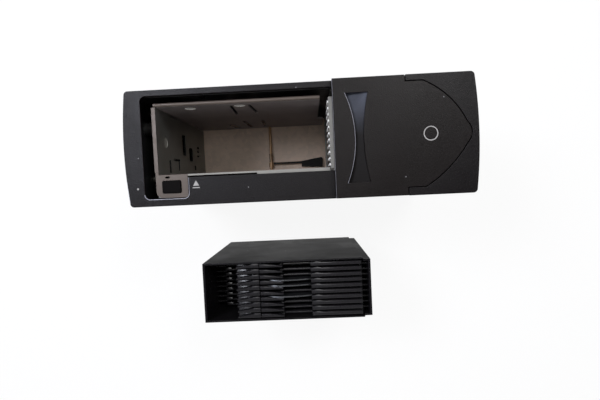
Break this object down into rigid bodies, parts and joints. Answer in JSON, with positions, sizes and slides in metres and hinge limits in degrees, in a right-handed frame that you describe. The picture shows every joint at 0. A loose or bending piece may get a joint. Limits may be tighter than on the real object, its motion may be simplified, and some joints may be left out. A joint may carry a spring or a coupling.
{
  "type": "car disc changer",
  "caption": "Trunk-mount disc changer with a sliding front door, an open magazine bay, an elevator player inside and a removable tray magazine beside it.",
  "frame": {"origin": "middle of the unit's rear face, which it stands on", "axes": "+X to the right along the front's long side, +Y towards the top cover, +Z out of the front; the unit stands on its rear face with its front up, and the loose magazine stands beside it"},
  "size_m": [0.2586, 0.1882, 0.175],
  "materials": {
    "case_plastic": "fine textured black plastic",
    "door_plastic": "fine textured black plastic",
    "inner_black": "smooth black plastic",
    "case_paint": "black paint",
    "zinc_screw": "zinc plated",
    "dial_grey": "black plastic",
    "damper_rubber": "soft rubber",
    "spring_steel": "bright spring wire",
    "zinc_sheet": "galvanised sheet",
    "cream_sheet": "cream plated sheet",
    "comb_white": "natural white plastic",
    "button_black": "black plastic",
    "lever_black": "black plastic",
    "rod_steel": "ground steel",
    "gear_white": "natural white plastic",
    "motor_steel": "plated steel can",
    "clamp_black": "black plastic",
    "pickup_black": "black plastic",
    "lens_glass": "clear lens",
    "board_green": "green circuit board",
    "part_black": "black parts",
    "socket_metal": "plated shell",
    "magazine_black": "semi gloss black plastic",
    "tray_black": "semi gloss black plastic"
  },
  "bodies": {
    "case": {"front_bezel": "case_plastic", "end_cap": "case_plastic", "shutter_rails": "inner_black", "top_cover": "case_paint", "bottom_cover": "case_paint", "rear_panel": "case_paint", "case_screws": "zinc_screw", "side_mount_nuts": "zinc_screw", "suspension_dampers": "damper_rubber", "suspension_springs": "spring_steel", "bay_side_plate": "zinc_sheet", "bay_top_plate": "zinc_sheet", "bay_floor_plate": "cream_sheet", "eject_bracket": "cream_sheet", "bay_divider": "cream_sheet", "chassis_back_plate": "zinc_sheet", "chassis_base_plate": "zinc_sheet", "mech_cover": "zinc_sheet", "mech_front_plate": "zinc_sheet", "tray_comb": "comb_white", "eject_switch": "lever_black", "eject_spring": "spring_steel", "ejector_shaft": "rod_steel", "ejector_spring": "spring_steel", "guide_posts": "rod_steel", "lift_motor": "motor_steel", "main_board": "board_green", "board_parts": "part_black", "din_socket": "socket_metal"},
    "door": {"sliding_door": "door_plastic"},
    "shutter": {"dust_shutter": "inner_black"},
    "dial_left": {"suspension_dial_left": "dial_grey"},
    "dial_right": {"suspension_dial_right": "dial_grey"},
    "button": {"eject_button": "button_black"},
    "ejector": {"ejector_lever": "lever_black"},
    "latch": {"magazine_latch": "lever_black"},
    "lift_cam": {"cam_slide": "zinc_sheet"},
    "gear": {"lift_gear": "gear_white"},
    "pinion": {"lift_pinion": "gear_white"},
    "deck": {"elevator_deck": "zinc_sheet", "spindle_motor": "motor_steel", "deck_rods": "rod_steel"},
    "spindle": {"turntable": "clamp_black"},
    "arm": {"clamp_arm": "zinc_sheet"},
    "clamp": {"disc_clamp": "clamp_black"},
    "pickup": {"optical_pickup": "pickup_black", "pickup_lens": "lens_glass"},
    "loader": {"load_slider": "lever_black"},
    "magazine": {"magazine_upper_case": "magazine_black", "magazine_lower_case": "magazine_black"},
    "tray_01_body": {"tray_01": "tray_black"},
    "tray_02_body": {"tray_02": "tray_black"},
    "tray_03_body": {"tray_03": "tray_black"},
    "tray_04_body": {"tray_04": "tray_black"},
    "tray_05_body": {"tray_05": "tray_black"},
    "tray_06_body": {"tray_06": "tray_black"},
    "tray_07_body": {"tray_07": "tray_black"},
    "tray_08_body": {"tray_08": "tray_black"},
    "tray_09_body": {"tray_09": "tray_black"},
    "tray_10_body": {"tray_10": "tray_black"}
  },
  "joints": [
    {"name": "door_slide", "type": "slide", "parent": "case", "child": "door", "axis": [-1, 0, 0], "range_m": [0, 0.1414]},
    {"name": "shutter_slide", "type": "slide", "parent": "case", "child": "shutter", "axis": [-1, 0, 0], "range_m": [0, 0.098]},
    {"name": "dial_left_turn", "type": "hinge", "parent": "case", "child": "dial_left", "pos_m": [-0.1272, 0.006, 0.076], "axis": [1, 0, 0], "range_deg": [0, 90]},
    {"name": "dial_right_turn", "type": "hinge", "parent": "case", "child": "dial_right", "pos_m": [0.1272, 0.006, 0.076], "axis": [1, 0, 0], "range_deg": [0, 90]},
    {"name": "button_press", "type": "slide", "parent": "case", "child": "button", "axis": [0, 0, -1], "range_m": [0, 0.0025], "stiffness_N_per_m": 300, "springref_m": -0.003, "deforming": ["eject_spring"]},
    {"name": "ejector_swing", "type": "hinge", "parent": "case", "child": "ejector", "pos_m": [-0.0335, 0, 0.0189], "axis": [0, -1, 0], "range_deg": [0, 40]},
    {"name": "latch_swing", "type": "hinge", "parent": "case", "child": "latch", "pos_m": [-0.113, -0.004, 0.1315], "axis": [0, 0, 1], "range_deg": [0, 10]},
    {"name": "deck_lift", "type": "slide", "parent": "case", "child": "deck", "axis": [0, 1, 0], "range_m": [0, 0.0455]},
    {"name": "cam_slide_run", "type": "slide", "parent": "case", "child": "lift_cam", "axis": [1, 0, 0], "range_m": [0, 0.035]},
    {"name": "gear_turn", "type": "hinge", "parent": "case", "child": "gear", "pos_m": [-0.002, -0.0355, 0.0796], "axis": [0, -1, 0], "range_deg": [0, 208.9]},
    {"name": "pinion_turn", "type": "hinge", "parent": "case", "child": "pinion", "pos_m": [-0.002, -0.0355, 0.0932], "axis": [0, 1, 0], "range_deg": [0, 501.37]},
    {"name": "turntable_spin", "type": "hinge", "parent": "deck", "child": "spindle", "pos_m": [0.0473, -0.01885, 0.0943], "axis": [0, 1, 0], "continuous": true},
    {"name": "clamp_arm_swing", "type": "hinge", "parent": "deck", "child": "arm", "pos_m": [0.1134, -0.0145, 0.0943], "axis": [0, 0, 1], "range_deg": [0, 3.8]},
    {"name": "clamp_spin", "type": "hinge", "parent": "arm", "child": "clamp", "pos_m": [0.0473, -0.0129, 0.0943], "axis": [0, 1, 0], "continuous": true},
    {"name": "pickup_run", "type": "slide", "parent": "deck", "child": "pickup", "axis": [1, 0, 0], "range_m": [0, 0.033]},
    {"name": "loader_run", "type": "slide", "parent": "deck", "child": "loader", "axis": [1, 0, 0], "range_m": [0, 0.07]},
    {"name": "magazine_lift", "type": "slide", "parent": "case", "child": "magazine", "axis": [0, 0, 1], "range_m": [0, 0.15]},
    {"name": "tray_01_slide", "type": "slide", "parent": "magazine", "child": "tray_01_body", "axis": [0, 0, 1], "range_m": [0, 0.088]},
    {"name": "tray_02_slide", "type": "slide", "parent": "magazine", "child": "tray_02_body", "axis": [0, 0, 1], "range_m": [0, 0.088]},
    {"name": "tray_03_slide", "type": "slide", "parent": "magazine", "child": "tray_03_body", "axis": [0, 0, 1], "range_m": [0, 0.088]},
    {"name": "tray_04_slide", "type": "slide", "parent": "magazine", "child": "tray_04_body", "axis": [0, 0, 1], "range_m": [0, 0.088]},
    {"name": "tray_05_slide", "type": "slide", "parent": "magazine", "child": "tray_05_body", "axis": [0, 0, 1], "range_m": [0, 0.088]},
    {"name": "tray_06_slide", "type": "slide", "parent": "magazine", "child": "tray_06_body", "axis": [0, 0, 1], "range_m": [0, 0.088]},
    {"name": "tray_07_slide", "type": "slide", "parent": "magazine", "child": "tray_07_body", "axis": [0, 0, 1], "range_m": [0, 0.088]},
    {"name": "tray_08_slide", "type": "slide", "parent": "magazine", "child": "tray_08_body", "axis": [0, 0, 1], "range_m": [0, 0.088]},
    {"name": "tray_09_slide", "type": "slide", "parent": "magazine", "child": "tray_09_body", "axis": [0, 0, 1], "range_m": [0, 0.088]},
    {"name": "tray_10_slide", "type": "slide", "parent": "magazine", "child": "tray_10_body", "axis": [0, 0, 1], "range_m": [0, 0.088]}
  ],
  "couplings": [
    {"joint": "shutter_slide", "follows": "door_slide", "ratio": 0.69307},
    {"joint": "cam_slide_run", "follows": "deck_lift", "ratio": 0.76923},
    {"joint": "gear_turn", "follows": "deck_lift", "rad_per_m": 80.128},
    {"joint": "pinion_turn", "follows": "deck_lift", "rad_per_m": 192.31}
  ]
}
